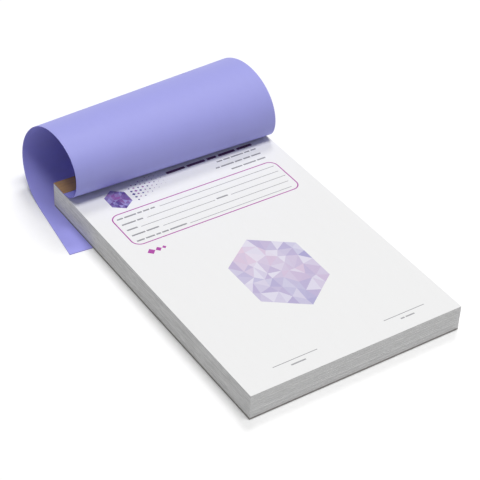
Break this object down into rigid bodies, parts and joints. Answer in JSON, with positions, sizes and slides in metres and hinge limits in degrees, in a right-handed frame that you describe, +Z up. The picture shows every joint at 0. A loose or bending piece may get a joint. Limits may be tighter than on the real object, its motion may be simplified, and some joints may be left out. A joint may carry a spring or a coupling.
{
  "type": "prescription pad",
  "caption": "Tear-off writing pad bound along its head with a kraft strip, its card cover flipped back in a loose curl and tucked under the block.",
  "frame": {"origin": "on the table, under the middle of the bound head edge; it lies on the underside of the tucked cover flap", "axes": "+Z up, away from the table; +Y along the leaves towards the bound head; +X across the pad to the reader's right"},
  "size_m": [0.1547, 0.2576, 0.0568],
  "materials": {
    "leaf_paper": "matt white writing paper",
    "greyboard": "matt grey backing board",
    "kraft_strip": "matt brown kraft paper",
    "head_glue": "dried padding glue, satin",
    "cover_card": "smooth lavender-blue card, soft satin"
  },
  "bodies": {
    "pad": {"back_board": "greyboard", "leaf_bundle_01": "leaf_paper", "leaf_bundle_02": "leaf_paper", "leaf_bundle_03": "leaf_paper", "leaf_bundle_04": "leaf_paper", "leaf_bundle_05": "leaf_paper", "leaf_bundle_06": "leaf_paper", "leaf_bundle_07": "leaf_paper", "leaf_bundle_08": "leaf_paper", "leaf_bundle_09": "leaf_paper", "leaf_bundle_10": "leaf_paper", "leaf_bundle_11": "leaf_paper", "leaf_bundle_12": "leaf_paper", "leaf_bundle_13": "leaf_paper", "leaf_bundle_14": "leaf_paper", "leaf_bundle_15": "leaf_paper", "leaf_bundle_16": "leaf_paper", "leaf_bundle_17": "leaf_paper", "leaf_bundle_18": "leaf_paper", "leaf_bundle_19": "leaf_paper", "leaf_bundle_20": "leaf_paper", "leaf_bundle_21": "leaf_paper", "leaf_bundle_22": "leaf_paper", "leaf_bundle_23": "leaf_paper", "leaf_bundle_24": "leaf_paper", "leaf_bundle_25": "leaf_paper", "leaf_bundle_26": "leaf_paper", "leaf_bundle_27": "leaf_paper", "leaf_bundle_28": "leaf_paper", "leaf_bundle_29": "leaf_paper", "leaf_bundle_30": "leaf_paper", "leaf_stub_1": "leaf_paper", "leaf_stub_2": "leaf_paper", "leaf_stub_3": "leaf_paper", "head_glue": "head_glue", "head_strip": "kraft_strip", "cover": "cover_card"},
    "leaf_1": {"top_leaf_1": "leaf_paper"},
    "leaf_2": {"top_leaf_2": "leaf_paper"},
    "leaf_3": {"top_leaf_3": "leaf_paper"}
  },
  "joints": [
    {"name": "tear_off_leaf_1", "type": "slide", "parent": "pad", "child": "leaf_1", "axis": [0, -1, 0], "range_m": [0, 0.22]},
    {"name": "tear_off_leaf_2", "type": "slide", "parent": "pad", "child": "leaf_2", "axis": [0, -1, 0], "range_m": [0, 0.22]},
    {"name": "tear_off_leaf_3", "type": "slide", "parent": "pad", "child": "leaf_3", "axis": [0, -1, 0], "range_m": [0, 0.22]}
  ]
}
